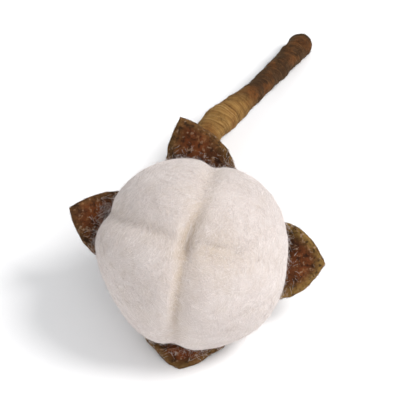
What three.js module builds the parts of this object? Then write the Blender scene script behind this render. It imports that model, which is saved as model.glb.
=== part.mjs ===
// A cotton boll of felted wool, as picked: a white ball of four puffy locks, held by four brown
// pointed sepals, on a length of wool-wrapped stalk. It lies on a surface, on the sepal under
// the ball and on the end of the stalk, with its face turned up and forwards.
// Millimetres, +Z up, and the face looks towards -Y. The origin is on the flat spot of the
// sepal that it rests on.
import * as THREE from 'three';
import { mergeVertices } from 'three/addons/utils/BufferGeometryUtils.js';

const degrees = THREE.MathUtils.degToRad;
const { clamp, lerp, smoothstep } = THREE.MathUtils;

// Driving dimensions.
const BOLL_WIDTH = 45;
const FACE_DEPTH = 19.5; // from the ball's rim to the front of its locks
const BACK_DEPTH = 16.5; // from the rim to the base, where the stalk meets it
const FACE_ELEVATION = degrees(44); // how far the face looks up from the surface
const SEPAL_THICKNESS = 2.3;
const TOUCH_GAP = 0.45; // between two pieces that lie on each other
const PRESS = 0.8; // how far the felt flattens where it rests
const REST_SPOT_AHEAD = 8.5; // the origin lies this far ahead of the ball's centre

// The creases between the locks: angle round the face, counted from +X towards the top, depth
// on the face, and depth left at the rim. Behind the rim they run out.
const CREASES = [
  { angle: degrees(72.5), depth: 2.2, rimDepth: 2.0 },
  { angle: degrees(157), depth: 1.6, rimDepth: 1.7 },
  { angle: degrees(262.5), depth: 1.9, rimDepth: 1.5 },
  { angle: degrees(351), depth: 1.3, rimDepth: 0.2 },
];
const CREASE_HALF_WIDTH = 2.8;
const CREASES_MEET = { x: -0.7, y: 1.6 }; // beside the boll's axis, in its own frame below

// How far each lock bulges, or falls short of a plain ball, in its middle.
const LOCKS = [
  { angle: degrees(34), bulge: 0.8 },
  { angle: degrees(117), bulge: -0.1 },
  { angle: degrees(210), bulge: -1.7 },
  { angle: degrees(322), bulge: 0.8 },
];
const LOCK_HALF_ANGLE = degrees(44);

// reach is the tip's distance from the boll's axis, and tipHeight how far it lies in front (+)
// or behind (-) the rim. sway turns the tip sideways, curl lifts the side edges, and fullness
// rounds the sides towards the tip.
const SEPALS = [
  {
    name: 'sepal_top', color: 0x56351d, angle: degrees(81), sway: degrees(14),
    reach: 32.2, tipHeight: -4.5, halfWidth: 8.7, curl: 1.6, fullness: 2.2,
  },
  {
    name: 'sepal_left', color: 0x543625, angle: degrees(161), sway: degrees(-1),
    reach: 30.6, tipHeight: -6.5, halfWidth: 8.4, curl: 2.0, fullness: 2.3,
  },
  {
    name: 'sepal_bottom', color: 0x51331f, angle: degrees(267), sway: degrees(-2),
    reach: 27.6, tipHeight: -3.4, halfWidth: 8.8, curl: 1.3, fullness: 2.8,
  },
  {
    name: 'sepal_right', color: 0x603723, angle: degrees(356), sway: degrees(0),
    reach: 31.7, tipHeight: -7, halfWidth: 9.4, curl: 2.0, fullness: 2.8,
  },
];
const SEPAL_ROOT = 3.7; // a sepal's root lies this far from the boll's axis
const SEPAL_WIDEST = 0.5; // share of its length at which it is widest
const SEPAL_SHOULDER = 5; // how softly its taper turns into its pointed end
const SIDE_ROOM = 0.74; // half width that fits beside the neighbours, for each mm from the axis
const FLARE = 0.38; // rise of a sepal's midrib for each mm outwards

// The stalk's centre line past its head, from the point of the surface under the ball's centre.
const STALK_ROUTE = [
  [-0.8, 23, 8.2],
  [-1.6, 31, 8.4],
  [-1.4, 41, 9.2],
  [0.9, 50.5, 9.8],
  [5.6, 59.7, 9.6],
  [13.6, 71.7, 8.2],
  [21.9, 87.2, 5.4],
  [29.3, 102.6, 2.5],
];
// The stalk's head as [distance from its root at the ball, radius]: a peg between the sepals,
// then a shallow cup that spreads under them and narrows to the stalk.
const STALK_HEAD = [
  [0, 0], [0.2, 1.8], [0.8, 2.7], [2.5, 2.9], [2.3, 4.6],
  [1.9, 6.0], [2.3, 6.6], [3.4, 6.5], [5.2, 5.3], [7.6, 4.0], [11, 3.1],
];
// Its radius past the head in the same way: it swells into a knot where it bends aside.
const STALK_WIDTHS = [
  [17, 2.6], [30, 2.6], [40, 2.8], [50, 3.75], [54, 3.8],
  [60, 3.2], [67, 2.75], [76, 2.6], [86, 2.85], [95, 3.05], [110, 3.0],
];
// Its blunt end as [distance from the tip, share of the stalk's radius].
const STALK_END = [[4.2, 1], [2.6, 1.02], [1.3, 0.9], [0.5, 0.6], [0, 0]];
const LUMP = 0.05; // share of the radius by which the wrapping stands out in ridges

// How finely each surface is split.
const BALL_RINGS = 38;
const BALL_SIDES = 60;
const SEPAL_RINGS = 20;
const SEPAL_SIDES = 20;
const STALK_RINGS = 46;
const STALK_SIDES = 16;

// A sphere whose every vertex is moved to place(ring, turn), where ring counts from 0 at one
// pole to rings at the other, and turn is the angle round the axis. It is one closed surface.
function shapedSphere(rings, sides, place) {
  const sphere = new THREE.SphereGeometry(1, sides, rings);
  const position = sphere.getAttribute('position');
  for (let ring = 0; ring <= rings; ring += 1) {
    for (let side = 0; side <= sides; side += 1) {
      const turn = ((side % sides) / sides) * 2 * Math.PI;
      position.setXYZ(ring * (sides + 1) + side, ...place(ring, turn));
    }
  }
  sphere.deleteAttribute('normal');
  sphere.deleteAttribute('uv');
  const closed = mergeVertices(sphere, 1e-4);
  closed.computeVertexNormals();
  return closed;
}

function feltMesh(name, color, geometry) {
  const felt = new THREE.MeshStandardMaterial({ color, roughness: 0.95, metalness: 0 });
  const mesh = new THREE.Mesh(geometry, felt);
  mesh.name = name;
  return mesh;
}

// The larger and the smaller of two lengths, with the corner between them rounded off.
const softMax = (a, b, softness) => (a + b + Math.hypot(a - b, softness)) / 2;
const softMin = (a, b, softness) => (a + b - Math.hypot(a - b, softness)) / 2;

// The boll's own frame has its origin in the ball's centre, X to the right, Y up the face and
// Z out of the face. Directions below are unit vectors of that frame.

// Distance from the centre to a skin pulled over the locks.
function skinRadius(direction) {
  const depth = direction.z > 0 ? FACE_DEPTH : BACK_DEPTH;
  const across = Math.hypot(direction.x, direction.y);
  const turn = Math.atan2(direction.y, direction.x);
  let bulge = 0;
  for (const lock of LOCKS) {
    const away = Math.acos(Math.cos(turn - lock.angle));
    bulge += lock.bulge * Math.cos((Math.min(away / LOCK_HALF_ANGLE, 1) * Math.PI) / 2) ** 2;
  }
  return 1 / Math.hypot(across / (BOLL_WIDTH / 2), direction.z / depth) + bulge * across ** 2;
}

// Distance from the centre to the ball's surface, with the creases sunk in.
function ballRadius(direction) {
  const skin = skinRadius(direction);
  const x = skin * direction.x - CREASES_MEET.x;
  const y = skin * direction.y - CREASES_MEET.y;
  const fromMeeting = Math.hypot(x, y);
  const onFace = smoothstep(direction.z, -0.1, 0.75);
  const notBehind = smoothstep(direction.z, -0.75, -0.1);
  let sunk = 0;
  for (const crease of CREASES) {
    const away = Math.atan2(y, x) - crease.angle;
    const distance = Math.cos(away) > 0 ? fromMeeting * Math.abs(Math.sin(away)) : fromMeeting;
    const valley = 1 / (1 + (distance / CREASE_HALF_WIDTH) ** 2);
    sunk += (lerp(crease.rimDepth, crease.depth, onFace) * valley) ** 4;
  }
  return skin - notBehind * sunk ** 0.25;
}

function ballPoint(ring, turn) {
  const fromPole = (ring / BALL_RINGS) * Math.PI;
  const across = Math.sin(fromPole);
  const direction = new THREE.Vector3(across * Math.cos(turn), across * Math.sin(turn), Math.cos(fromPole));
  return direction.multiplyScalar(ballRadius(direction));
}

// The boll's frame is turned so that its face looks up and forwards, and stands as high as the
// sepal under the ball allows.
const faceTurn = new THREE.Euler(Math.PI / 2 - FACE_ELEVATION, 0, 0);

function ballCentre() {
  let drop = 0;
  for (let ring = 0; ring <= BALL_RINGS; ring += 1) {
    for (let side = 0; side < BALL_SIDES; side += 1) {
      const point = ballPoint(ring, (side / BALL_SIDES) * 2 * Math.PI).applyEuler(faceTurn);
      drop = Math.max(drop, -point.z);
    }
  }
  return new THREE.Vector3(0, REST_SPOT_AHEAD, drop + TOUCH_GAP + SEPAL_THICKNESS - PRESS);
}
const centre = ballCentre();
const bollFrame = new THREE.Matrix4().makeRotationFromEuler(faceTurn).setPosition(centre);

function makeBoll() {
  const boll = feltMesh('boll', 0xe9e1da, shapedSphere(BALL_RINGS, BALL_SIDES, ballPoint));
  boll.rotation.copy(faceTurn);
  boll.position.copy(centre);
  return boll;
}

// A point of a sepal's middle layer. along runs from its root to its tip, and across is the
// distance sideways from its midrib.
function sepalMiddle(sepal, along, across) {
  const fromAxis = lerp(SEPAL_ROOT, sepal.reach, along);
  const angle = sepal.angle + sepal.sway * along ** 3;
  const height = sepal.tipHeight - FLARE * (sepal.reach - fromAxis);
  const point = new THREE.Vector3(
    fromAxis * Math.cos(angle) - across * Math.sin(angle),
    fromAxis * Math.sin(angle) + across * Math.cos(angle),
    height + sepal.curl * (across / sepal.halfWidth) ** 2,
  );
  // It lies on the ball wherever it would cut into it.
  const length = point.length();
  const direction = point.divideScalar(length);
  const onBall = skinRadius(direction) + TOUCH_GAP + SEPAL_THICKNESS / 2;
  point.multiplyScalar(softMax(length, onBall, 0.5));
  // What it rests on presses it up.
  point.applyMatrix4(bollFrame);
  point.z = softMax(point.z, SEPAL_THICKNESS / 2 - PRESS, 0.3);
  return point;
}

// A sepal widens from its root, beside its neighbours, and comes to a point.
function sepalHalfWidth(sepal, along) {
  const room = SIDE_ROOM * lerp(SEPAL_ROOT, sepal.reach, along) - TOUCH_GAP;
  const towardsTip = clamp((along - SEPAL_WIDEST) / (1 - SEPAL_WIDEST), 0, 1);
  const pointed = sepal.halfWidth * (1 - towardsTip ** sepal.fullness);
  const half = Math.max(0, softMin(room, pointed, SEPAL_SHOULDER * (1 - along)));
  return half * Math.sqrt(Math.min(1, along / 0.05));
}

function makeSepal(sepal) {
  const step = 0.01;
  const geometry = shapedSphere(SEPAL_RINGS, SEPAL_SIDES, (ring, turn) => {
    // Rings crowd towards the root and the tip, where the outline turns.
    const along = (1 - Math.cos((ring / SEPAL_RINGS) * Math.PI)) / 2;
    const across = sepalHalfWidth(sepal, along) * Math.cos(turn);
    const point = sepalMiddle(sepal, along, across);
    const lengthwise = sepalMiddle(sepal, along + step, across).sub(sepalMiddle(sepal, along - step, across));
    const sideways = sepalMiddle(sepal, along, across + step).sub(sepalMiddle(sepal, along, across - step));
    const outwards = sideways.cross(lengthwise).normalize();
    // Its section is a flat oval, which thins towards the root and the tip.
    const oval = Math.sign(Math.sin(turn)) * Math.abs(Math.sin(turn)) ** 0.6;
    const thin = Math.sqrt(Math.min(1, along / 0.05, (1 - along) / 0.06));
    point.addScaledVector(outwards, (oval * thin * SEPAL_THICKNESS) / 2);
    point.z = Math.max(point.z, 0);
    return point;
  });
  return feltMesh(sepal.name, sepal.color, geometry);
}

function stalkCurve() {
  const root = BACK_DEPTH + TOUCH_GAP;
  const onAxis = (behind) => new THREE.Vector3(0, 0, -behind).applyMatrix4(bollFrame);
  const route = STALK_ROUTE.map(([x, y, z]) => new THREE.Vector3(x, y + centre.y, z));
  return new THREE.CatmullRomCurve3([onAxis(root), onAxis(root + 3.2), onAxis(root + 5.4), ...route]);
}

// The wrapped wool swells and thins along the stalk.
function wrappedRadius(at) {
  const next = clamp(STALK_WIDTHS.findIndex(([where]) => where > at), 1, STALK_WIDTHS.length - 1);
  const [[start, from], [end, to]] = STALK_WIDTHS.slice(next - 1, next + 1);
  const waves = 0.03 * Math.sin(0.33 * at + 0.6) + 0.03 * Math.sin(0.83 * at + 2);
  return lerp(from, to, smoothstep(at, start, end)) * (1 + waves);
}

// The stalk's rings as [distance along its centre line, radius].
function stalkRings(length) {
  const [headEnd, headRadius] = STALK_HEAD.at(-1);
  const endStart = length - STALK_END[0][0];
  const rings = [...STALK_HEAD];
  for (let ring = 1; ring <= STALK_RINGS; ring += 1) {
    const at = lerp(headEnd, endStart, ring / STALK_RINGS);
    rings.push([at, lerp(headRadius, wrappedRadius(at), smoothstep(at, headEnd, headEnd + 6))]);
  }
  const blunt = STALK_END.slice(1).map(([back, share]) => [length - back, share * wrappedRadius(endStart)]);
  return [...rings, ...blunt];
}

function makeStalk() {
  const curve = stalkCurve();
  const length = curve.getLength();
  const rings = stalkRings(length);
  const headEnd = STALK_HEAD.at(-1)[0];
  const up = new THREE.Vector3(0, 0, 1);
  const geometry = shapedSphere(rings.length - 1, STALK_SIDES, (ring, turn) => {
    const [at, plainRadius] = rings[ring];
    const point = curve.getPointAt(at / length);
    const forwards = curve.getTangentAt(at / length);
    const sideways = forwards.clone().cross(up).normalize();
    const upwards = sideways.clone().cross(forwards);
    const ridges = LUMP * Math.sin(3 * turn + 0.5 * at) * smoothstep(at, headEnd, headEnd + 5);
    const radius = plainRadius * (1 + ridges);
    point.addScaledVector(sideways, radius * Math.cos(turn));
    point.addScaledVector(upwards, radius * Math.sin(turn));
    point.z = Math.max(point.z, 0);
    return point;
  });
  return feltMesh('stalk', 0x7a5f37, geometry);
}

const cottonBoll = new THREE.Group();
cottonBoll.name = 'cotton_boll';
cottonBoll.add(makeBoll(), ...SEPALS.map(makeSepal), makeStalk());

export default cottonBoll;
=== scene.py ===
from math import cos, pi, radians, sin

import bpy
import numpy as np
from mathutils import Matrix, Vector, noise


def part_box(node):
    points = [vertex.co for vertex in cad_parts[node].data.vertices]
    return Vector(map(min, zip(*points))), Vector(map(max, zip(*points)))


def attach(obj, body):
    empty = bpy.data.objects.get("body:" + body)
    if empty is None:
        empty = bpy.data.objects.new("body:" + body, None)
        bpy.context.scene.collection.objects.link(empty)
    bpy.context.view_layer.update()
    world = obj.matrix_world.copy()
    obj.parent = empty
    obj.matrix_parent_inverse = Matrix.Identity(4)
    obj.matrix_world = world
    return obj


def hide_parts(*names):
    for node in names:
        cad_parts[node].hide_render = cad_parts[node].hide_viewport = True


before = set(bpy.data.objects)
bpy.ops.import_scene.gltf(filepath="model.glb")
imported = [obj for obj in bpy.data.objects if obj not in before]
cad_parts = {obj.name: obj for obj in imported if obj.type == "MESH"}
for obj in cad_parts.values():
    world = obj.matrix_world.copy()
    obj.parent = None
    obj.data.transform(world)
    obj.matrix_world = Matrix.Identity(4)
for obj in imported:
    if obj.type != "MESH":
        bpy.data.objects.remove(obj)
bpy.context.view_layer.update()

MM = 0.001

# The boll, as the solids have it.
BOLL_WIDTH = 45.0
FACE_DEPTH = 19.5         # from the ball's centre to its face
BACK_DEPTH = 16.5         # and to its back
FACE_ELEVATION = radians(44)
SEPAL_THICKNESS = 2.3
TOUCH_GAP = 0.45          # between the ball and what cups it
PRESS = 0.8               # what the sepal under the ball loses of its thickness where it lies
SOLID_GRID = (38, 60)     # rings and sides of the solid ball
BOLL_GRID = (170, 240)    # and of the ball that shows

# Creases between the locks: angle round the face, depth on the face and depth at the rim.
CREASES = (
    (radians(72.5), 2.2, 2.0),
    (radians(157), 1.6, 1.7),
    (radians(262.5), 1.9, 1.5),
    (radians(351), 1.3, 0.2),
)
CREASE_HALF_WIDTH = 2.8
CREASES_MEET = (-0.7, 1.6)
CREASE_JOINING = 4        # the power that joins the creases smoothly where they meet
# Finer folds at the bottom of the creases, and wrinkles beside them: a line over the face, its
# depth and half width, and the share of its length after which it runs out.
FOLDS = (
    (((-1.7, -3.0), (-1.4, 0.0), (-1.1, 2.4), (-0.2, 5.7), (1.4, 8.7), (3.1, 12.3), (3.7, 14.0)),
     1.45, 1.35, 0.3),
    (((-0.9, 1.6), (-1.6, -2.0), (-2.5, -6.0), (-3.1, -11.0), (-3.5, -17.0), (-3.7, -21.5)),
     0.62, 1.1, 0.6),
    (((-1.0, 2.2), (-4.4, 4.0), (-9.2, 6.0), (-13.6, 7.4), (-18.0, 8.8)), 0.14, 1.2, 0.5),
    (((0.0, 3.3), (3.2, 2.7), (7.4, 1.6), (12.5, 1.2)), 0.36, 0.75, 0.4),
    (((-0.4, -0.4), (5.0, -0.8), (11.0, -1.6)), 0.24, 0.75, 0.4),
)
# A broad trough, given as the folds are, with the share of its length over which it begins.
TROUGH = (((2.0, 4.0), (-3.0, 5.3), (-8.0, 6.5), (-14.0, 8.3), (-21.0, 10.8)), 1.3, 6.5, 0.75, 0.6)
# Soft dents, and swellings as dents less than nothing deep: middle on the face, radius and depth.
DENTS = (
    ((-7.0, -6.5), 7.5, -0.9), ((-10.5, -11.0), 4.0, 0.4), ((-0.9, 2.6), 2.0, 0.35),
    ((2.4, 9.8), 2.6, -0.45), ((0.0, 2.5), 6.0, 0.8), ((3.5, -14.5), 6.0, -0.5),
    ((-1.5, -12.5), 6.5, 0.7),
)
# The share of a crease's depth that is left where loose wool fills it, well inside the rim.
CREASE_LEFT_OPEN = 0.78
# Painted shade, darker and creamier, round where the creases meet: middle on the face, radius,
# share.
SHADED_HOLLOW = ((5.0, 1.0), 6.0, 0.5)
CREASE_SHADE_SHARE = 0.5       # the share of painted shade in a crease of full depth
# Bands between the ball's back, at -1, its rim, at 0, and the middle of its face, at 1.
BACK_TO_RIM = (-0.75, -0.1)     # where the creases begin
RIM_TO_FACE = (-0.1, 0.75)      # where their depth changes from the rim's to the face's
FOLDS_BEGIN = (0.0, 0.25)
LOOSE_WOOL_BEGINS = (0.3, 0.75)

# Locks: angle of each one's middle and how far it bulges there.
LOCKS = ((radians(34), 0.8), (radians(117), -0.1), (radians(210), -1.7), (radians(322), 0.8))
LOCK_HALF_ANGLE = radians(44)

# Sepals: place round the face, the tip's reach and height, width, and how each one bends. Then
# how olive its rim is, which is partly felt colour and partly painted highlight, how rusty its
# middle is, and the share of white wisps that cling to it.
SEPALS = {
    "sepal_top": dict(angle=radians(81), sway=radians(14), reach=32.2, tip_height=-4.5,
                      half_width=8.7, curl=1.6, fullness=2.2, olive=0.35, rust=0.45, wisps=0.35),
    "sepal_left": dict(angle=radians(161), sway=radians(-1), reach=30.6, tip_height=-6.5,
                       half_width=8.4, curl=2.0, fullness=2.3, olive=0.15, rust=0.42, wisps=0.9),
    "sepal_bottom": dict(angle=radians(267), sway=radians(-2), reach=27.6, tip_height=-3.4,
                         half_width=8.8, curl=1.3, fullness=2.8, olive=0.5, rust=0.85, wisps=0.3),
    "sepal_right": dict(angle=radians(356), sway=0.0, reach=31.7, tip_height=-7.0,
                        half_width=9.4, curl=2.0, fullness=2.8, olive=1.0, rust=0.4, wisps=1.0),
}
SEPAL_GRID = (84, 64)     # rings and sides
SEPAL_ROOT = 3.7          # from the boll's axis to where a sepal begins
SEPAL_WIDEST = 0.5        # the share of its length after which it narrows
SIDE_ROOM = 0.74          # its half width for each millimetre from the axis, where it is crowded
SEPAL_SHOULDER = 5.0      # how softly it changes from crowded to free
FLARE = 0.38              # how far it bends back for each millimetre short of the tip
ON_BALL_SOFTNESS = 0.5    # how softly a sepal settles on the ball
ON_FLOOR_SOFTNESS = 0.3   # and on what it lies on
ROOT_ROUNDING = 0.05      # the share of its length over which its root is rounded
TIP_ROUNDING = 0.06       # and its tip
EDGE_ROUNDNESS = 0.6      # 1 makes its section an oval, and 0 a box
# Markings of the felt: width of the edging, and share of the length from which the tip has it.
DARK_EDGING = (1.9, 0.93)
# The olive edging is partly the felt's own colour and partly painted highlight on the lit rims.
OLIVE_AND_HIGHLIGHT_EDGING = (3.4, 0.88)
EDGING_BEGINS = (0.2, 0.6)      # shares of the length between which it fades in
BACK_BEGINS = (-0.2, 0.6)       # from the middle layer, at 0, to the back, at 1
# The rusty patch: share of the length at its middle, then its reach along as a share of the
# length and its reach across as a share of the half width.
RUSTY_PATCH = (0.8, 0.13, 0.5)

# The stalk's centre line past its head, from the point under the ball's centre.
STALK_ROUTE = (
    (-0.8, 23, 8.2), (-1.6, 31, 8.4), (-1.4, 41, 9.2), (0.9, 50.5, 9.8),
    (5.6, 59.7, 9.6), (13.6, 71.7, 8.2), (21.9, 87.2, 5.4), (29.3, 102.6, 2.5),
)
STALK_LEAVES_BALL = (0, 3.2, 5.4)      # points of the centre line straight behind the ball
# Its head as (distance from the root, radius) and its blunt end as (distance from the tip,
# share of the radius).
STALK_HEAD = (
    (0, 0), (0.2, 1.8), (0.8, 2.7), (2.5, 2.9), (2.3, 4.6),
    (1.9, 6.0), (2.3, 6.6), (3.4, 6.5), (5.2, 5.3), (7.6, 4.0), (11, 3.1),
)
STALK_END = ((4.2, 1), (2.6, 1.02), (1.3, 0.9), (0.5, 0.6), (0, 0))
# Its radius in between, as (distance from the root, radius).
STALK_WIDTHS = (
    (17, 2.6), (30, 2.6), (40, 2.8), (50, 3.75), (54, 3.8),
    (60, 3.2), (67, 2.75), (76, 2.6), (86, 2.85), (95, 3.05), (110, 3.0),
)
STALK_GRID = (280, 40)    # rings between head and end, and sides
HEAD_FADES = 6            # the length over which the head's radius becomes the stalk's
WRAP_BEGINS = 5           # and over which the wrapping begins
# Waves of the radius along the stalk: height as a share, turn for each millimetre, and start.
STALK_WAVES = ((0.03, 0.33, 0.6), (0.03, 0.83, 2))
# Ridges of the wrapping: height as a share, ridges round the stalk, turn for each millimetre.
WRAP_RIDGES = ((0.03, 3, 0.5), (0.014, 2, -1.9))
# Streaks of the wrapping: turn for each millimetre, how far they stray and over what length, and
# the radius and stretch of the pattern's space.
STREAK_TURN = 1.15
STREAK_STRAY = (0.6, 4.0)
STREAK_RADIUS = 2.7
STREAK_STRETCH = 0.16
# The wool is olive near the ball and turns brown over this stretch, past the knot.
OLIVE_TURNS_BROWN = (58, 68)
OLIVE_STRAY = (2.5, 5.0)

# Unevenness of the wools: height and size of the lumps.
BOLL_LUMPS = ((0.26, 9.0), (0.08, 3.2))
SEPAL_LUMPS = ((0.16, 2.6), (0.08, 1.1))
SEPAL_EDGE_LUMPS = (0.35, 2.2)
RUST_LUMPS = (1.2, 1.9)
STALK_LUMPS = ((0.035, 2.4), (0.03, 1.0))
TUFTS = (1.0, 2.2)
TUFT_LEVEL = 0.6          # the tufts' cover on average
SEED_STEP = (7.3, 3.1, 5.7)     # how many lumps the pattern is shifted for each seed
BOLL_SEED, STALK_SEED, SEPAL_SEED, TUFT_SEED = 1, 31, 40, 91
SEEDS_PER_SEPAL = 5

# Loose fibres: their number, length and thickness, how far their ends lift off, how deep they
# start, how far they wander, how fast their common lie swirls and how far each strays from it.
LYING_FIBRES = dict(per_square_metre=1.0e6, length=4.6 * MM, thickness=0.05 * MM,
                    lift=0.14 * MM, depth=0.005 * MM, wander=3.2 * MM, swirl=0.05 / MM,
                    straying=0.8, points=6, seed=11)
HALO_FIBRES = dict(per_square_metre=0.75e6, length=2.8 * MM, thickness=0.04 * MM,
                   lift=1.2 * MM, depth=0.015 * MM, wander=2.0 * MM, swirl=0.1 / MM,
                   straying=1.2, points=5, seed=21)
SEPAL_FUZZ = dict(per_square_metre=3.0e6, length=1.8 * MM, thickness=0.06 * MM,
                  lift=0.4 * MM, depth=0.01 * MM, wander=2.2 * MM, swirl=0.3 / MM,
                  straying=1.0, points=4, seed=51)
WHITE_WISPS = dict(per_square_metre=8.0e6, length=1.5 * MM, thickness=0.042 * MM,
                   lift=0.4 * MM, depth=0.01 * MM, wander=2.4 * MM, swirl=0.2 / MM,
                   straying=1.0, points=5, seed=61)
STALK_FUZZ = dict(per_square_metre=2.2e6, length=2.2 * MM, thickness=0.055 * MM,
                  lift=0.4 * MM, depth=0.01 * MM, wander=2.6 * MM, swirl=0.3 / MM,
                  straying=1.0, points=5, seed=71)
LYING_LAYERS = 2
FIBRE_LENGTHS = (0.45, 1.25)    # the shortest and the longest fibre, as shares of the length
FIBRE_BENDS = 0.22 / MM         # bends for each metre
FIBRE_SIDES = 3
FIBRE_TAPER = 0.7
LIFT_POWER = 1.6                # above 1, a fibre lifts off mostly near its end
OWN_SHIFT = 9                   # a fibre's bends are read up to this many metres aside
# Distances from the ball's centre over which the wisps begin and over which they end.
WISPS_BEGIN = (20.5, 22.0)
WISPS_END = (23.2, 27.0)

# Colours of the wools, as sRGB from 0 to 255, and ramps of them as (position, colour).
WHITE_WOOLS = ((0.35, (189, 179, 175)), (0.65, (198, 189, 185)))
# Painted highlight: the loose white fibres are lighter than the wool they lie on.
WHITE_FIBRE_HIGHLIGHTS = ((0.3, (226, 216, 212)), (0.7, (237, 229, 226)))
DULL_TUFT = (176, 164, 153)
# Painted shade for the creases: darker and creamier than the wool.
PAINTED_SHADE_CREAM = (178, 162, 143)
WHITE_SHEEN = (255, 250, 246)
FELT_BROWNS = (
    (0.36, (48, 28, 17)), (0.48, (66, 40, 24)), (0.58, (86, 48, 26)), (0.70, (98, 60, 35)))
FELT_FIBRES = ((0.35, (66, 40, 23)), (0.65, (98, 60, 34)))
DARK_FLECK = (34, 20, 13)
TAN_FLECK = (136, 98, 66)
PALE_SPECK = (156, 130, 107)
# What an attribute of a sepal tints the felt with, and how much at most.
FELT_TINTS = (
    ("rusty", (124, 62, 28), 1.0),
    ("rim", (58, 37, 23), 0.55),
    # The olive rim is partly the felt's colour and partly painted highlight.
    ("olive", (132, 104, 56), 0.75),
    ("back", (112, 86, 50), 0.45),
)
FELT_SHEEN = (190, 150, 110)
FELT_FIBRE_SHEEN = (200, 160, 120)
STALK_OLIVES = (
    (0.30, (88, 58, 30)), (0.45, (124, 90, 48)), (0.58, (142, 108, 60)), (0.72, (164, 132, 84)))
STALK_BROWNS = (
    (0.30, (34, 20, 12)), (0.45, (52, 33, 19)), (0.60, (70, 46, 27)), (0.74, (112, 84, 52)))
STALK_CLOUD = (112, 66, 30)
OLIVE_FIBRES = ((0.32, (84, 58, 34)), (0.5, (122, 90, 50)), (0.7, (160, 128, 80)))
BROWN_FIBRES = ((0.32, (36, 22, 14)), (0.5, (64, 41, 25)), (0.7, (112, 82, 52)))
STALK_SHEEN = (200, 170, 120)
PAPER_WHITES = ((0.3, (244, 244, 245)), (0.7, (247, 247, 248)))

# The view: the camera looks down at the boll's face.
VIEW_AZIMUTH = radians(0.7)
VIEW_ELEVATION = radians(43)
VIEW_DISTANCE = 0.52
VIEW_WIDTH = 0.093        # width that the picture takes in at that distance
AIM_ASIDE = 0.0022        # what the view aims at, right of the ball's centre and above it
AIM_ABOVE = 0.0125
SENSOR_WIDTH = 36.0
NEAREST_SEEN = 0.02

# The light and the floor, in metres and watts.
KEY_LIGHT = dict(location=(0.62, -0.06, 0.80), target=(0, 0.01, 0.0), size=0.42, power=7.6,
                 colour=(1.0, 0.985, 0.972))
FILL_LIGHT = dict(location=(0.05, -0.90, 0.56), target=(0, 0.01, 0.02), size=0.9, power=4.2,
                  colour=(1.0, 0.99, 0.975))
STUDIO_COLOUR = (0.97, 0.985, 1.0, 1)
STUDIO_STRENGTH = 0.64
FLOOR_SIZE = 6.0


def smoothstep(values, low, high):
    share = np.clip((values - low) / (high - low), 0, 1)
    return share * share * (3 - 2 * share)


def soft_max(a, b, softness):
    return (a + b + np.hypot(a - b, softness)) / 2


def soft_min(a, b, softness):
    return (a + b - np.hypot(a - b, softness)) / 2


def lengths(vectors):
    return np.sqrt((vectors ** 2).sum(-1))


def mix(a, b, share):
    return a + (b - a) * share


def travelled_along(line):
    """How far along a line each of its points is."""
    return np.concatenate(((0,), np.cumsum(lengths(np.diff(line, axis=0)))))


def smooth_line(points, per_span):
    """A centripetal Catmull-Rom line through points, evenly split between each two of them."""
    points = np.asarray(points, float)
    ends = (2 * points[0] - points[1], 2 * points[-1] - points[-2])
    padded = np.vstack((ends[:1], points, ends[1:]))
    spans = []
    for before, start, end, after in zip(padded, padded[1:], padded[2:], padded[3:]):
        gaps = [max(np.linalg.norm(b - a) ** 0.5, 1e-6) for a, b in
                ((before, start), (start, end), (end, after))]
        leave = ((start - before) / gaps[0] - (end - before) / (gaps[0] + gaps[1])
                 + (end - start) / gaps[1]) * gaps[1]
        arrive = ((end - start) / gaps[1] - (after - start) / (gaps[1] + gaps[2])
                  + (after - end) / gaps[2]) * gaps[1]
        share = np.linspace(0, 1, per_span, endpoint=False)[:, None]
        spans.append((2 * share ** 3 - 3 * share ** 2 + 1) * start
                     + (share ** 3 - 2 * share ** 2 + share) * leave
                     + (3 * share ** 2 - 2 * share ** 3) * end
                     + (share ** 3 - share ** 2) * arrive)
    return np.vstack((*spans, points[-1:]))


def wobble(points, size, seed):
    """Smooth unevenness from -1 to 1 at points in millimetres, with lumps of the given size."""
    shift = Vector([seed * step for step in SEED_STEP])
    flat = points.reshape(-1, 3) / size
    values = [noise.noise(Vector(point) + shift) for point in flat]
    return np.array(values).reshape(points.shape[:-1])


def uneven(points, lumps, seed, level=0.0):
    """A level with several sizes of lumps on it, one seed after another."""
    for number, (height, size) in enumerate(lumps):
        level = level + height * wobble(points, size, seed + number)
    return level


# The boll's own frame: origin in the ball's centre, X right, Y up the face, Z out of the face.
TURN = np.array((
    (1, 0, 0),
    (0, sin(FACE_ELEVATION), -cos(FACE_ELEVATION)),
    (0, cos(FACE_ELEVATION), sin(FACE_ELEVATION)),
))


def skin_radius(direction):
    """Distance from the ball's centre to a skin pulled over the locks."""
    depth = np.where(direction[..., 2] > 0, FACE_DEPTH, BACK_DEPTH)
    across = np.hypot(direction[..., 0], direction[..., 1])
    turn = np.arctan2(direction[..., 1], direction[..., 0])
    bulge = np.zeros_like(turn)
    for middle, rise in LOCKS:
        away = np.arccos(np.clip(np.cos(turn - middle), -1, 1))
        bulge += rise * np.cos(np.minimum(away / LOCK_HALF_ANGLE, 1) * pi / 2) ** 2
    return 1 / np.hypot(across / (BOLL_WIDTH / 2), direction[..., 2] / depth) + bulge * across ** 2


def crease_depths(direction):
    """How far the ball's surface sinks under the skin along the creases."""
    skin = skin_radius(direction)
    x = skin * direction[..., 0] - CREASES_MEET[0]
    y = skin * direction[..., 1] - CREASES_MEET[1]
    from_meeting = np.hypot(x, y)
    on_face = smoothstep(direction[..., 2], *RIM_TO_FACE)
    not_behind = smoothstep(direction[..., 2], *BACK_TO_RIM)
    sunk = np.zeros_like(skin)
    for angle, depth, rim_depth in CREASES:
        away = np.arctan2(y, x) - angle
        distance = np.where(np.cos(away) > 0, from_meeting * np.abs(np.sin(away)), from_meeting)
        here = mix(rim_depth, depth, on_face)
        sunk += (here / (1 + (distance / CREASE_HALF_WIDTH) ** 2)) ** CREASE_JOINING
    return not_behind * sunk ** (1 / CREASE_JOINING)


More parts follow.
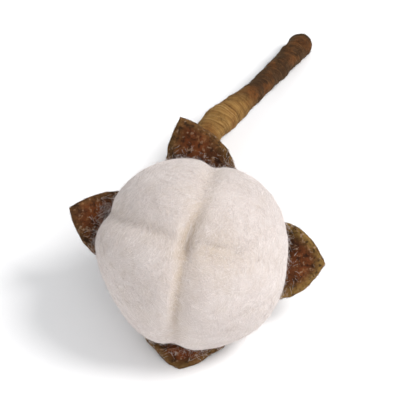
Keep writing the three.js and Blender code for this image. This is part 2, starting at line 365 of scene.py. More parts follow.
def line_distance(spots, line):
    """Distance of each spot on the face from a line, and where along the line it is nearest."""
    line = smooth_line(line, per_span=8)
    along = travelled_along(line)
    nearest = np.full(spots.shape[:-1], np.inf)
    where = np.zeros_like(nearest)
    for start, end, begun in zip(line, line[1:], along):
        step = end - start
        share = np.clip(((spots - start) @ step) / (step @ step), 0, 1)
        away = lengths(spots - start - share[..., None] * step)
        where = np.where(away < nearest, begun + share * np.sqrt(step @ step), where)
        nearest = np.minimum(nearest, away)
    return nearest, where / along[-1]


def groove_depth(spots, line, depth, half_width, full_until, full_from=0.15):
    """Depth of a groove along a line, which begins softly and runs out."""
    away, where = line_distance(spots, line)
    fading = smoothstep(where, 0, full_from) * (1 - smoothstep(where, full_until, 1))
    return depth * fading * np.exp(-(away / half_width) ** 2)


def fold_depths(direction, radius):
    """How deep the fine folds are, and how deep the trough and the soft dents are."""
    face = (direction * radius[..., None])[..., :2]
    in_front = smoothstep(direction[..., 2], *FOLDS_BEGIN)
    fold = np.max([groove_depth(face, *groove) for groove in FOLDS], axis=0)
    dent = groove_depth(face, *TROUGH)
    for middle, size, depth in DENTS:
        away = lengths(face - np.array(middle)) / size
        dent += depth * np.exp(-away ** 2)
    return in_front * fold, in_front * dent


def boll_grid(rings, sides):
    """Directions from the ball's centre, in rings from the face's middle to the back's."""
    from_pole = np.linspace(0, pi, rings + 1)[:, None]
    turn = np.linspace(0, 2 * pi, sides, endpoint=False)[None, :]
    across = np.sin(from_pole)
    return np.stack((across * np.cos(turn), across * np.sin(turn),
                     np.cos(from_pole) + 0 * turn), -1)


def rest_centre():
    """The ball's centre, from the solid that the frame holds."""
    direction = boll_grid(*SOLID_GRID)
    sunk = crease_depths(direction)
    points = (direction * (skin_radius(direction) - sunk)[..., None]).reshape(-1, 3) @ TURN.T
    low, high = (np.array(corner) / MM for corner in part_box("boll"))
    return (low + high) / 2 - (points.min(0) + points.max(0)) / 2


CENTRE = rest_centre()


def to_part(points):
    return points @ TURN.T + CENTRE


# Meshes.
def linked(name, data):
    thing = bpy.data.objects.new(name, data)
    bpy.context.scene.collection.objects.link(thing)
    return thing


def in_a_row(values):
    """Rings of values as one row, with the first and the last ring as one value each."""
    between = values[1:-1].reshape(-1, *values.shape[2:])
    return np.concatenate((values[:1, 0], between, values[-1:, 0]))


def grid_faces(rings, sides):
    """Faces over rings of points from pole to pole, with each ring closed on itself."""
    last = (rings - 2) * sides + 1

    def at(ring, side):
        return 1 + (ring - 1) * sides + side % sides

    faces = [(0, at(1, side), at(1, side + 1)) for side in range(sides)]
    for ring in range(1, rings - 2):
        for side in range(sides):
            faces.append((at(ring, side), at(ring + 1, side),
                          at(ring + 1, side + 1), at(ring, side + 1)))
    faces += [(at(rings - 2, side + 1), at(rings - 2, side), last) for side in range(sides)]
    return faces


def closed_surface(name, grid, material, numbers, wound=None):
    """A closed mesh over a grid of rings from pole to pole.

    numbers holds an attribute for each name, and wound the stalk's wound-up pattern space."""
    mesh = bpy.data.meshes.new(name)
    faces = grid_faces(*grid.shape[:2])
    mesh.from_pydata((in_a_row(grid) * MM).tolist(), [], faces)
    mesh.polygons.foreach_set("use_smooth", [True] * len(faces))
    for key, values in numbers.items():
        flat = in_a_row(values).astype(np.float32)
        mesh.attributes.new(key, "FLOAT", "POINT").data.foreach_set("value", flat)
    if wound is not None:
        flat = in_a_row(wound).astype(np.float32).ravel()
        mesh.attributes.new("wound", "FLOAT_VECTOR", "POINT").data.foreach_set("vector", flat)
    mesh.materials.append(material)
    mesh.validate()
    mesh.update()
    face_outwards(mesh)
    return linked(name, mesh)


def face_outwards(mesh):
    """Turns the faces round if the closed mesh was built inside out."""
    mesh.calc_loop_triangles()
    corners = np.array([mesh.vertices[i].co for t in mesh.loop_triangles for i in t.vertices])
    a, b, c = corners.reshape(-1, 3, 3).transpose(1, 0, 2)
    if (np.cross(a, b) * c).sum() < 0:
        mesh.flip_normals()


# Materials.
def new_material(name):
    material = bpy.data.materials.new(name)
    material.use_nodes = True
    tree = material.node_tree
    return material, tree, tree.nodes["Principled BSDF"]


def noise_over(tree, source, scale, detail, roughness):
    texture = tree.nodes.new("ShaderNodeTexNoise")
    texture.inputs["Scale"].default_value = scale
    texture.inputs["Detail"].default_value = detail
    texture.inputs["Roughness"].default_value = roughness
    tree.links.new(source, texture.inputs["Vector"])
    return texture.outputs["Fac"]


def object_noise(tree, scale, detail=4.0, roughness=0.55):
    """Noise on Object coordinates, with scale in lumps per millimetre."""
    source = tree.nodes.new("ShaderNodeTexCoord").outputs["Object"]
    return noise_over(tree, source, scale / MM, detail, roughness)


def linear(srgb):
    """Linear colour from an sRGB colour given as 0 to 255."""
    return tuple(c / 12.92 if c <= 0.04045 else ((c + 0.055) / 1.055) ** 2.4
                 for c in (channel / 255 for channel in srgb))


def ramp(tree, value, stops):
    """A colour ramp over a value, from (position, sRGB colour) stops."""
    node = tree.nodes.new("ShaderNodeValToRGB")
    elements = node.color_ramp.elements
    while len(elements) < len(stops):
        elements.new(0.5)
    for element, (position, colour) in zip(elements, stops):
        element.position = position
        element.color = (*linear(colour), 1)
    tree.links.new(value, node.inputs["Fac"])
    return node.outputs["Color"]


def attribute(tree, name, output="Fac"):
    node = tree.nodes.new("ShaderNodeAttribute")
    node.attribute_name = name
    return node.outputs[output]


def mixed(tree, share, a, b):
    """Colour a mixed with colour b, each a socket or an sRGB colour."""
    node = tree.nodes.new("ShaderNodeMix")
    node.data_type = "RGBA"
    for value, socket in ((share, node.inputs[0]), (a, node.inputs[6]), (b, node.inputs[7])):
        if isinstance(value, bpy.types.NodeSocket):
            tree.links.new(value, socket)
        else:
            socket.default_value = (*linear(value), 1)
    return node.outputs[2]


def tinted(tree, base, tint, value, low=0.0, high=1.0, most=1.0):
    """The base colour with more of a tint in it as a value goes from low to high."""
    node = tree.nodes.new("ShaderNodeMapRange")
    for key, number in (("From Min", low), ("From Max", high), ("To Min", 0.0), ("To Max", most)):
        node.inputs[key].default_value = number
    tree.links.new(value, node.inputs["Value"])
    return mixed(tree, node.outputs["Result"], base, tint)


def bumped(tree, shader, height, distance, strength):
    node = tree.nodes.new("ShaderNodeBump")
    node.inputs["Strength"].default_value = strength
    node.inputs["Distance"].default_value = distance * MM
    tree.links.new(height, node.inputs["Height"])
    tree.links.new(node.outputs["Normal"], shader.inputs["Normal"])


def wool_finish(tree, shader, colour, sheen, sheen_tint):
    """Dry wool, which hardly shines but is paler where it is seen aslant."""
    tree.links.new(colour, shader.inputs["Base Color"])
    shader.inputs["Roughness"].default_value = 0.95
    shader.inputs["Specular IOR Level"].default_value = 0.12
    shader.inputs["Sheen Weight"].default_value = sheen
    shader.inputs["Sheen Roughness"].default_value = 0.55
    shader.inputs["Sheen Tint"].default_value = (*linear(sheen_tint), 1)


def white_wool():
    """Dense needle-felted wool, with painted shade, darker and creamier, where it folds in."""
    material, tree, shader = new_material("white_wool")
    cloud = object_noise(tree, 0.09, detail=3)
    tuft = object_noise(tree, 0.28, detail=3, roughness=0.6)
    plain = ramp(tree, cloud, WHITE_WOOLS)
    tufted = tinted(tree, plain, DULL_TUFT, tuft, 0.48, 0.68, most=0.4)
    # Painted shade: a darker, creamier colour in the creases and round their meeting.
    painted_shade = tinted(tree, tufted, PAINTED_SHADE_CREAM, attribute(tree, "painted_shade"), most=0.8)
    wool_finish(tree, shader, painted_shade, 0.25, WHITE_SHEEN)
    fibre = object_noise(tree, 1.6, detail=6, roughness=0.65)
    bumped(tree, shader, fibre, distance=0.25, strength=0.5)
    shader.inputs["Subsurface Weight"].default_value = 0.25
    shader.inputs["Subsurface Radius"].default_value = (1.0, 0.85, 0.75)
    shader.inputs["Subsurface Scale"].default_value = 1.2 * MM
    return material


def white_fibre_highlight():
    """Single fibres of the white wool, coloured lighter than the wool under them as painted
    highlight.
    """
    material, tree, shader = new_material("white_fibre_highlight")
    patch = object_noise(tree, 0.6, detail=2)
    wool_finish(tree, shader, ramp(tree, patch, WHITE_FIBRE_HIGHLIGHTS), 0.2, WHITE_SHEEN)
    return material


def flecked(tree, plain):
    """The plain colour with the felt's dark flecks, tan flecks and pale specks in it.

    The felt and its loose fibres share them. Gives the height of the flecks too."""
    fleck = object_noise(tree, 0.85, detail=5, roughness=0.65)
    speck = object_noise(tree, 1.05, detail=3)
    darkened = tinted(tree, plain, DARK_FLECK, fleck, 0.48, 0.38, most=0.8)
    tanned = tinted(tree, darkened, TAN_FLECK, fleck, 0.56, 0.67, most=0.65)
    specked = tinted(tree, tanned, PALE_SPECK, speck, 0.60, 0.68, most=0.7)
    return specked, fleck


def brown_felt():
    """Chocolate felt, rusty in its middle, with dark and pale flecks and dark or olive rims.
    The olive rims are partly painted highlight.
    """
    material, tree, shader = new_material("brown_felt")
    cloud = object_noise(tree, 0.22, roughness=0.6)
    plain = ramp(tree, cloud, FELT_BROWNS)
    for name, tint, most in FELT_TINTS:
        plain = tinted(tree, plain, tint, attribute(tree, name), most=most)
    colour, height = flecked(tree, plain)
    wool_finish(tree, shader, colour, 0.12, FELT_SHEEN)
    bumped(tree, shader, height, distance=0.3, strength=0.8)
    return material


def brown_fibre():
    """Single fibres of the brown felt, flecked as it is."""
    material, tree, shader = new_material("brown_fibre")
    patch = object_noise(tree, 0.6, detail=2)
    colour = flecked(tree, ramp(tree, patch, FELT_FIBRES))[0]
    wool_finish(tree, shader, colour, 0.1, FELT_FIBRE_SHEEN)
    return material


def olive_or_brown(tree, value, olives, browns):
    """Olive near the stalk's root and brown past the knot, each a ramp over the same value."""
    olive = ramp(tree, value, olives)
    brown = ramp(tree, value, browns)
    return mixed(tree, attribute(tree, "near_root"), brown, olive)


def stalk_wool():
    """Olive-brown wool wound round the stalk in slanting streaks."""
    material, tree, shader = new_material("stalk_wool")
    wound = attribute(tree, "wound", "Vector")
    streak = noise_over(tree, wound, scale=0.8, detail=5, roughness=0.6)
    cloud = object_noise(tree, 0.16, detail=3)
    plain = olive_or_brown(tree, streak, STALK_OLIVES, STALK_BROWNS)
    clouded = tinted(tree, plain, STALK_CLOUD, cloud, 0.50, 0.66, most=0.6)
    wool_finish(tree, shader, clouded, 0.12, STALK_SHEEN)
    bumped(tree, shader, streak, distance=0.3, strength=0.6)
    return material


def stalk_fibre():
    """Single fibres of the stalk's wool, olive or brown as the wool under them is."""
    material, tree, shader = new_material("stalk_fibre")
    patch = object_noise(tree, 0.9, detail=3, roughness=0.6)
    colour = olive_or_brown(tree, patch, OLIVE_FIBRES, BROWN_FIBRES)
    wool_finish(tree, shader, colour, 0.1, STALK_SHEEN)
    return material


# The boll.
def make_boll(material):
    """The ball of wool: puffy locks, soft creases, finer folds and slight unevenness."""
    direction = boll_grid(*BOLL_GRID)
    out_of_face = direction[..., 2]
    left_open = mix(1, CREASE_LEFT_OPEN, smoothstep(out_of_face, *LOOSE_WOOL_BEGINS))
    sunk = crease_depths(direction) * left_open
    radius = skin_radius(direction) - sunk
    fold, dent = fold_depths(direction, radius)
    radius -= fold + dent
    points = direction * radius[..., None]
    radius += uneven(points, BOLL_LUMPS, BOLL_SEED)
    # Painted shade, stored on the ball: in the creases, the fine folds and the hollow round their
    # meeting.
    middle, size, share = SHADED_HOLLOW
    from_middle = lengths(points[..., :2] - np.array(middle)) / size
    hollow = np.where(out_of_face > 0, share * np.exp(-from_middle ** 2), 0)
    deepest = CREASES[0][1]
    painted_shade = np.clip(sunk / deepest, 0, 1) * CREASE_SHADE_SHARE + np.maximum(fold, hollow)
    return closed_surface("boll_wool", to_part(direction * radius[..., None]), material,
                          {"painted_shade": np.clip(painted_shade, 0, 1)})


# The sepals.
def sepal_middle(sepal, along, across):
    """A sepal's middle layer, by the share of its length and the distance from its midrib."""
    from_axis = mix(SEPAL_ROOT, sepal["reach"], along)
    angle = sepal["angle"] + sepal["sway"] * along ** 3
    height = sepal["tip_height"] - FLARE * (sepal["reach"] - from_axis)
    point = np.stack((
        from_axis * np.cos(angle) - across * np.sin(angle),
        from_axis * np.sin(angle) + across * np.cos(angle),
        height + sepal["curl"] * (across / sepal["half_width"]) ** 2,
    ), -1)
    length = lengths(point)
    direction = point / length[..., None]
    on_ball = skin_radius(direction) + TOUCH_GAP + SEPAL_THICKNESS / 2
    point = to_part(direction * soft_max(length, on_ball, ON_BALL_SOFTNESS)[..., None])
    on_floor = SEPAL_THICKNESS / 2 - PRESS
    point[..., 2] = soft_max(point[..., 2], on_floor, ON_FLOOR_SOFTNESS)
    return point


def sepal_directions(sepal, along, across, step=0.01):
    """Unit vectors square to a sepal's middle layer and across the sepal."""
    lengthwise = (sepal_middle(sepal, along + step, across)
                  - sepal_middle(sepal, along - step, across))
    sideways = (sepal_middle(sepal, along, across + step)
                - sepal_middle(sepal, along, across - step))
    outward = np.cross(sideways, lengthwise)
    return outward / lengths(outward)[..., None], sideways / lengths(sideways)[..., None]


def sepal_half_width(sepal, along):
    room = SIDE_ROOM * mix(SEPAL_ROOT, sepal["reach"], along) - TOUCH_GAP
    towards_tip = np.clip((along - SEPAL_WIDEST) / (1 - SEPAL_WIDEST), 0, 1)
    pointed = sepal["half_width"] * (1 - towards_tip ** sepal["fullness"])
    half = np.maximum(0, soft_min(room, pointed, SEPAL_SHOULDER * (1 - along)))
    return half * np.sqrt(np.minimum(1, along / ROOT_ROUNDING))


def felt_edging(along, from_edge, width, tip_start):
    """1 at a sepal's edges and tip, and 0 away from them and near its root."""
    towards_edge = smoothstep(from_edge, width, 0.1) * smoothstep(along, *EDGING_BEGINS)
    return np.maximum(towards_edge, smoothstep(along, tip_start, 1.0))


def rusty_patch(sepal, along, across, points, seed):
    """How rusty a sepal is: most in the middle of what shows of it, in patches."""
    middle, reach_along, reach_across = RUSTY_PATCH
    from_middle = np.hypot((along - middle) / reach_along,
                           across / (reach_across * sepal["half_width"]))
    height, size = RUST_LUMPS
    patches = 1 + height * wobble(points, size, seed)
    return np.clip(np.exp(-from_middle ** 2) * patches, 0, 1) * sepal["rust"]


def make_sepal(name, seed, material):
    """A pointed leaf of felt that cups the ball, thick and round-edged, with uneven sides."""
    sepal = SEPALS[name]
    rings, sides = SEPAL_GRID
    along = ((1 - np.cos(np.linspace(0, pi, rings + 1))) / 2)[:, None]
    turn = np.linspace(0, 2 * pi, sides, endpoint=False)[None, :]
    half = sepal_half_width(sepal, along)
    across = half * np.cos(turn)
    middle = sepal_middle(sepal, along, across)
    outward, sideways = sepal_directions(sepal, along, across)
    oval = np.sign(np.sin(turn)) * np.abs(np.sin(turn)) ** EDGE_ROUNDNESS
    thin = np.sqrt(np.clip(np.minimum(along / ROOT_ROUNDING, (1 - along) / TIP_ROUNDING), 0, 1))
    level = oval * thin
    points = middle + outward * (level * SEPAL_THICKNESS / 2)[..., None]
    rough = uneven(points, SEPAL_LUMPS, seed)
    points = points + outward * (np.sign(level) * rough * np.abs(level))[..., None]
    # The edges are uneven too, less where the sepal is narrow.
    height, size = SEPAL_EDGE_LUMPS
    edge = np.cos(turn) * np.abs(np.cos(turn)) * np.minimum(1, half / 2)
    points = points + sideways * (edge * height * wobble(middle, size, seed + 2))[..., None]
    points[..., 2] = np.maximum(points[..., 2], 0)

    from_edge = half - np.abs(across)
    away_from_ball = np.sign(((points - CENTRE) * outward).sum(-1).mean())
    return closed_surface(name + "_felt", points, material, {
        "rim": felt_edging(along, from_edge, *DARK_EDGING),
        # Olive rim: partly felt colour, partly painted highlight, most on the sepal facing the key
        # light.
        "olive": felt_edging(along, from_edge, *OLIVE_AND_HIGHLIGHT_EDGING) * sepal["olive"],
        "rusty": rusty_patch(sepal, along, across, points, seed + 3),
        "back": smoothstep(away_from_ball * level, *BACK_BEGINS),
    })


# The stalk.
def stalk_line():
    root = BACK_DEPTH + TOUCH_GAP
    head = [to_part(np.array((0, 0, -(root + behind)))) for behind in STALK_LEAVES_BALL]
    route = [np.array((x, y + CENTRE[1], z)) for x, y, z in STALK_ROUTE]
    return smooth_line(head + route, per_span=60)


def wrapped_radius(at):
    """The stalk's radius past its head, at a distance from the root."""
    waves = sum(height * np.sin(rate * at + start) for height, rate, start in STALK_WAVES)
    where, width = np.array(STALK_WIDTHS).T
    span = np.clip(np.searchsorted(where, at, side="right"), 1, len(where) - 1)
    share = smoothstep(at, where[span - 1], where[span])
    return mix(width[span - 1], width[span], share) * (1 + waves)


def stalk_rings(length):
    """The distance of each ring from the root, and its radius."""
    head_end, head_radius = STALK_HEAD[-1]
    end_start = length - STALK_END[0][0]
    head = smooth_line(STALK_HEAD, per_span=5)
    plain = np.linspace(head_end, end_start, STALK_GRID[0])[1:]
    blended = smoothstep(plain, head_end, head_end + HEAD_FADES)
    plain_radius = mix(head_radius, wrapped_radius(plain), blended)
    blunt = [(length - back, share * wrapped_radius(end_start)) for back, share in STALK_END]
    end = smooth_line(blunt, per_span=5)[1:]
    rings = np.vstack((head, np.stack((plain, plain_radius), -1), end))
    return rings[:, :1], np.maximum(rings[:, 1:], 0)


def make_stalk(material):
    """The stalk, wound with wool: a head that cups the sepals, then uneven slanting turns."""
    line = stalk_line()
    travelled = travelled_along(line)
    at, radius = stalk_rings(travelled[-1])

    def on_line(where):
        where = np.clip(where, 0, travelled[-1])[:, 0]
        return np.stack([np.interp(where, travelled, line[:, axis]) for axis in range(3)], -1)

    step = 0.4
    middle = on_line(at)
    forwards = on_line(at + step) - on_line(at - step)
    forwards /= lengths(forwards)[:, None]
    sideways = np.cross(forwards, (0, 0, 1))
    sideways /= lengths(sideways)[:, None]
    upwards = np.cross(sideways, forwards)

    turn = np.linspace(0, 2 * pi, STALK_GRID[1], endpoint=False)[None, :]
    head_end = STALK_HEAD[-1][0]
    wound = smoothstep(at, head_end, head_end + WRAP_BEGINS)
    ridged = 1
    for height, around, rate in WRAP_RIDGES:
        ridged = ridged + height * np.sin(around * turn + rate * at) * wound
    full = radius * ridged
    points = (middle[:, None] + sideways[:, None] * (full * np.cos(turn))[..., None]
              + upwards[:, None] * (full * np.sin(turn))[..., None])
    outward = points - middle[:, None]
    swell = uneven(points, STALK_LUMPS, STALK_SEED, level=1)
    points = middle[:, None] + outward * swell[..., None]
    points[..., 2] = np.maximum(points[..., 2], 0)
    return closed_surface("stalk_wrap", points, material, {"near_root": near_root(at, points)},
                          wound=wound_space(turn, at, points))


def near_root(at, points):
    """1 where the stalk's wool is olive and 0 where it is brown."""
    stray, size = OLIVE_STRAY
    strayed = at + stray * wobble(points, size, STALK_SEED + 2)
    return 1 - smoothstep(strayed, *OLIVE_TURNS_BROWN)


def wound_space(turn, at, points):
    """The pattern's space, wound up along the stalk so that streaks follow the wrapping."""
    stray, size = STREAK_STRAY
    slant = turn + STREAK_TURN * at + stray * wobble(points, size, STALK_SEED + 3)
    return np.stack((STREAK_RADIUS * np.cos(slant), STREAK_RADIUS * np.sin(slant),
                     STREAK_STRETCH * at + 0 * turn), -1)


# Fibres.
class Wiring:
    """A Geometry Nodes tree, with short ways to add nodes that are wired up at once."""

    def __init__(self, name, inputs, output):
        self.tree = bpy.data.node_groups.new(name, "GeometryNodeTree")
        new_socket = self.tree.interface.new_socket
        for title, kind in inputs:
            new_socket(title, in_out="INPUT", socket_type="NodeSocket" + kind)
        new_socket(output, in_out="OUTPUT", socket_type="NodeSocketGeometry")
        self.given = self.add("NodeGroupInput").outputs

    def put(self, value, socket):
        if isinstance(value, bpy.types.NodeSocket):
            self.tree.links.new(value, socket)
        else:
            socket.default_value = value

    def add(self, kind, settings=(), **inputs):
        """A new node, with its inputs set or linked by their titles."""
        node = self.tree.nodes.new(kind)
        for key, value in dict(settings).items():
            setattr(node, key, value)
        for title, value in inputs.items():
            self.put(value, node.inputs[title.replace("_", " ")])
        return node

    def maths(self, operation, a, b):
        node = self.add("ShaderNodeMath", {"operation": operation})
        self.put(a, node.inputs[0])
        self.put(b, node.inputs[1])
        return node.outputs[0]

    def vectors(self, operation, a, b=None):
        node = self.add("ShaderNodeVectorMath", {"operation": operation})
        self.put(a, node.inputs[0])
        if b is not None:
            self.put(b, node.inputs["Scale" if operation == "SCALE" else 1])
        return node.outputs["Value" if operation == "DOT_PRODUCT" else "Vector"]

    def random(self, kind, low, high, salt):
        node = self.add("FunctionNodeRandomValue", {"data_type": kind})
        low_socket, high_socket, made = {"FLOAT": (2, 3, 1), "FLOAT_VECTOR": (0, 1, 0)}[kind]
        self.put(low, node.inputs[low_socket])
        self.put(high, node.inputs[high_socket])
        self.put(self.maths("ADD", self.given["Seed"], salt), node.inputs["Seed"])
        return node.outputs[made]

    def stored(self, geometry, name, kind, value):
        settings = {"data_type": kind, "domain": "POINT"}
        return self.add("GeometryNodeStoreNamedAttribute", settings,
                        Name=name, Geometry=geometry, Value=value).outputs[0]

    def named(self, name, kind):
        settings = {"data_type": kind}
        return self.add("GeometryNodeInputNamedAttribute", settings, Name=name).outputs[0]

    def position(self):
        return self.add("GeometryNodeInputPosition").outputs[0]

    def wavy(self, source, scale):
        """A vector that changes smoothly over space."""
        waves = self.add("ShaderNodeTexNoise", Vector=source, Scale=scale, Detail=1.0)
        return self.vectors("SUBTRACT", waves.outputs["Color"], (0.5, 0.5, 0.5))


def scattered_starts(wiring):
    """Random points on the surface, each with its own numbers and a turn along the surface."""
    given = wiring.given
    density = wiring.maths("MULTIPLY", given["Per Square Metre"], wiring.named("cover", "FLOAT"))
    scatter = wiring.add("GeometryNodeDistributePointsOnFaces",
                         Mesh=given["Surface"], Density=density, Seed=given["Seed"])
    lie = wiring.vectors("NORMALIZE", wiring.wavy(wiring.position(), given["Swirl"]))
    anywhere = wiring.random("FLOAT_VECTOR", (-1, -1, -1), (1, 1, 1), salt=1)
    heading = wiring.vectors("ADD", lie, wiring.vectors("SCALE", anywhere, given["Straying"]))
    normal = scatter.outputs["Normal"]
    rising = wiring.vectors("SCALE", normal, wiring.vectors("DOT_PRODUCT", heading, normal))
    tangent = wiring.vectors("NORMALIZE", wiring.vectors("SUBTRACT", heading, rising))
    turn = wiring.add("FunctionNodeAlignRotationToVector", {"axis": "X"}, Vector=tangent)
    starts = wiring.stored(scatter.outputs["Points"], "lift", "FLOAT",
                           wiring.random("FLOAT", 0.0, 1.0, salt=2))
    shift = wiring.random("FLOAT_VECTOR", (-OWN_SHIFT,) * 3, (OWN_SHIFT,) * 3, salt=3)
    return wiring.stored(starts, "own", "FLOAT_VECTOR", shift), turn.outputs[0]


def straight_lines(wiring, starts, turns):
    """A straight line of points from each start, of its own length."""
    line = wiring.add("GeometryNodeCurvePrimitiveLine", End=(1, 0, 0))
    split = wiring.add("GeometryNodeResampleCurve",
                       Curve=line.outputs[0], Count=wiring.given["Points"])
    share = wiring.random("FLOAT", *FIBRE_LENGTHS, salt=4)
    length = wiring.maths("MULTIPLY", wiring.given["Length"], share)
    copies = wiring.add("GeometryNodeInstanceOnPoints", Points=starts,
                        Instance=split.outputs[0], Rotation=turns, Scale=length)
    return wiring.add("GeometryNodeRealizeInstances", Geometry=copies.outputs[0]).outputs[0]


def settled_lines(wiring, lines, along):
    """Each point wanders, returns to the surface and takes its height above it."""
    given = wiring.given
    own_place = wiring.vectors("ADD", wiring.position(), wiring.named("own", "FLOAT_VECTOR"))
    wander = wiring.vectors("SCALE", wiring.wavy(own_place, FIBRE_BENDS),
                            wiring.maths("MULTIPLY", given["Wander"], along))
    wandered = wiring.vectors("ADD", wiring.position(), wander)
    nearest = wiring.add("GeometryNodeProximity", {"target_element": "FACES"},
                         Geometry=given["Surface"], Sample_Position=wandered)
    normal = wiring.add("GeometryNodeInputNormal").outputs[0]
    facing = wiring.add("GeometryNodeSampleNearestSurface", {"data_type": "FLOAT_VECTOR"},
                        Mesh=given["Surface"], Value=normal, Sample_Position=wandered)
    lift = wiring.maths("MULTIPLY", given["Lift"], wiring.named("lift", "FLOAT"))
    rise = wiring.maths("MULTIPLY", lift, wiring.maths("POWER", along, LIFT_POWER))
    height = wiring.maths("SUBTRACT", rise, given["Depth"])
    settled = wiring.vectors("ADD", nearest.outputs["Position"],
                             wiring.vectors("SCALE", facing.outputs[0], height))
    # No fibre reaches under the surface that the boll lies on.
    lowest = wiring.add("ShaderNodeCombineXYZ", X=-1.0, Y=-1.0, Z=given["Thickness"])
    above_floor = wiring.vectors("MAXIMUM", settled, lowest.outputs[0])
    return wiring.add("GeometryNodeSetPosition", Geometry=lines, Position=above_floor).outputs[0]


def skinned_lines(wiring, lines, along):
    """A thin closed skin round each line, narrower towards its end."""
    radius = wiring.maths("MULTIPLY", wiring.given["Thickness"], 0.5)
    ring = wiring.add("GeometryNodeCurvePrimitiveCircle", Resolution=FIBRE_SIDES, Radius=radius)
    narrowed = wiring.maths("MULTIPLY", wiring.maths("POWER", along, 2.0), FIBRE_TAPER)
    skin = wiring.add("GeometryNodeCurveToMesh", Curve=lines, Profile_Curve=ring.outputs[0],
                      Scale=wiring.maths("SUBTRACT", 1.0, narrowed), Fill_Caps=True)
    return wiring.add("GeometryNodeRealizeInstances", Geometry=skin.outputs[0]).outputs[0]


def fibre_tree():
    """Geometry Nodes that lay fibres on a surface: each starts at a random point, follows the
    surface's swirling lie, wanders a little and may lift off towards its end."""
    wiring = Wiring("lay_fibres", (
        ("Surface", "Geometry"), ("Per Square Metre", "Float"), ("Length", "Float"),
        ("Thickness", "Float"), ("Lift", "Float"), ("Depth", "Float"), ("Wander", "Float"),
        ("Swirl", "Float"), ("Straying", "Float"), ("Points", "Int"), ("Seed", "Int"),
        ("Material", "Material")), "Fibres")
    along = wiring.add("GeometryNodeSplineParameter").outputs["Factor"]
    lines = straight_lines(wiring, *scattered_starts(wiring))
    lines = settled_lines(wiring, lines, along)
    finish = wiring.add("GeometryNodeSetMaterial", Geometry=skinned_lines(wiring, lines, along),
                        Material=wiring.given["Material"])
    wiring.put(finish.outputs[0], wiring.add("NodeGroupOutput").inputs[0])
    return wiring.tree


def lay_fibres(tree, name, surface, material, fibres, number=0, cover=None):
    """A mesh of fibres on a surface. cover gives each vertex of it a share of the fibres."""
    carrier = linked(name + "_surface", surface.data.copy())
    if cover is None:
        cover = np.ones(len(carrier.data.vertices))
    shares = carrier.data.attributes.new("cover", "FLOAT", "POINT")
    shares.data.foreach_set("value", np.asarray(cover, np.float32))
    modifier = carrier.modifiers.new("fibres", "NODES")
    modifier.node_group = tree
    sockets = {item.name: item.identifier for item in tree.interface.items_tree
               if item.in_out == "INPUT"}
    modifier[sockets["Material"]] = material
    for key, value in dict(fibres, seed=fibres["seed"] + number).items():
        modifier[sockets[key.replace("_", " ").title()]] = value
    made = carrier.evaluated_get(bpy.context.evaluated_depsgraph_get())
    mesh = bpy.data.meshes.new_from_object(made)
    mesh.name = name
    for spare in ("lift", "own"):
        mesh.attributes.remove(mesh.attributes[spare])
    mesh.polygons.foreach_set("use_smooth", [True] * len(mesh.polygons))
    bpy.data.objects.remove(carrier)
    return linked(name, mesh)


def wisp_cover(sepal, share):
    """Where white fibres of the ball cling to a sepal: beside the ball, in tufts."""
    points = np.empty(len(sepal.data.vertices) * 3)
    sepal.data.vertices.foreach_get("co", points)
    points = points.reshape(-1, 3) / MM
    back = np.empty(len(points), np.float32)
    sepal.data.attributes["back"].data.foreach_get("value", back)
    height, size = TUFTS
    tufts = np.clip(TUFT_LEVEL + height * wobble(points, size, TUFT_SEED), 0, 1)
    from_centre = lengths(points - CENTRE)
    beside = (1 - smoothstep(from_centre, *WISPS_END)) * smoothstep(from_centre, *WISPS_BEGIN)
    return share * beside * (1 - back) * tufts


# The stage.
def make_floor():
    bpy.ops.mesh.primitive_plane_add(size=FLOOR_SIZE, location=(0, 0, 0))
    floor = bpy.context.object
    floor.name = "floor"
    material, tree, shader = new_material("paper_white")
    grain = object_noise(tree, 0.02, detail=2)
    tree.links.new(ramp(tree, grain, PAPER_WHITES), shader.inputs["Base Color"])
    shader.inputs["Roughness"].default_value = 0.9
    shader.inputs["Specular IOR Level"].default_value = 0.1
    floor.data.materials.append(material)


def look_at(thing, target):
    thing.rotation_euler = (Vector(target) - thing.location).to_track_quat("-Z", "Y").to_euler()


def soft_light(name, location, target, size, power, colour):
    light = bpy.data.lights.new(name, "AREA")
    light.shape = "DISK"
    light.size = size
    light.energy = power
    light.color = colour
    lamp = linked(name, light)
    lamp.location = location
    look_at(lamp, target)


def make_light():
    soft_light("key", **KEY_LIGHT)
    soft_light("fill", **FILL_LIGHT)
    world = bpy.data.worlds.new("studio")
    world.use_nodes = True
    background = world.node_tree.nodes["Background"]
    background.inputs["Color"].default_value = STUDIO_COLOUR
    background.inputs["Strength"].default_value = STUDIO_STRENGTH
    bpy.context.scene.world = world


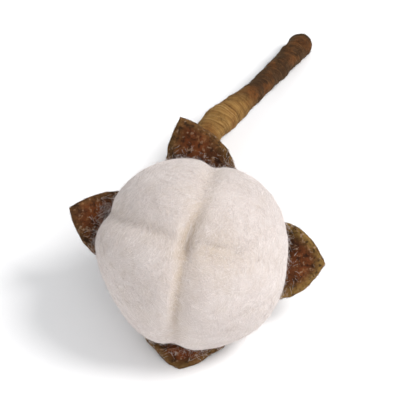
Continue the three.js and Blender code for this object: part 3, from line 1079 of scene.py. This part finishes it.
def make_camera():
    towards = Vector((sin(VIEW_AZIMUTH) * cos(VIEW_ELEVATION),
                      -cos(VIEW_AZIMUTH) * cos(VIEW_ELEVATION), sin(VIEW_ELEVATION)))
    right = Vector((cos(VIEW_AZIMUTH), sin(VIEW_AZIMUTH), 0))
    up = towards.cross(right)
    aim = Vector(CENTRE) * MM + right * AIM_ASIDE + up * AIM_ABOVE
    camera = bpy.data.cameras.new("camera")
    camera.sensor_width = SENSOR_WIDTH
    camera.lens = SENSOR_WIDTH * VIEW_DISTANCE / VIEW_WIDTH
    camera.clip_start = NEAREST_SEEN
    eye = linked("camera", camera)
    eye.location = aim + towards * VIEW_DISTANCE
    look_at(eye, aim)
    bpy.context.scene.camera = eye


def place(piece, slot, *nodes):
    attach(piece, "root")
    if nodes:
        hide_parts(*nodes)


def main():
    bpy.context.scene.view_settings.view_transform = "Standard"
    make_camera()
    make_light()
    make_floor()

    boll = make_boll(white_wool())
    place(boll, "white_wool", "boll")
    stalk = make_stalk(stalk_wool())
    place(stalk, "stalk_wool", "stalk")
    felt = brown_felt()
    sepals = {}
    for number, name in enumerate(SEPALS):
        sepals[name] = make_sepal(name, SEPAL_SEED + SEEDS_PER_SEPAL * number, felt)
        place(sepals[name], "brown_felt", name)

    tree, white, brown = fibre_tree(), white_fibre_highlight(), brown_fibre()
    for layer in range(LYING_LAYERS):
        lying = lay_fibres(tree, f"boll_fibres_{layer + 1}", boll, white, LYING_FIBRES, layer)
        place(lying, "white_wool")
    halo = lay_fibres(tree, "boll_halo", boll, white, HALO_FIBRES)
    place(halo, "white_wool")
    for number, (name, sepal) in enumerate(sepals.items()):
        fuzz = lay_fibres(tree, name + "_fuzz", sepal, brown, SEPAL_FUZZ, number)
        place(fuzz, "brown_felt")
    for number, (name, sepal) in enumerate(sepals.items()):
        cover = wisp_cover(sepal, SEPALS[name]["wisps"])
        wisps = lay_fibres(tree, name + "_wisps", sepal, white, WHITE_WISPS, number, cover)
        place(wisps, "white_wool")
    stalk_fuzz = lay_fibres(tree, "stalk_fuzz", stalk, stalk_fibre(), STALK_FUZZ)
    place(stalk_fuzz, "stalk_wool")


main()
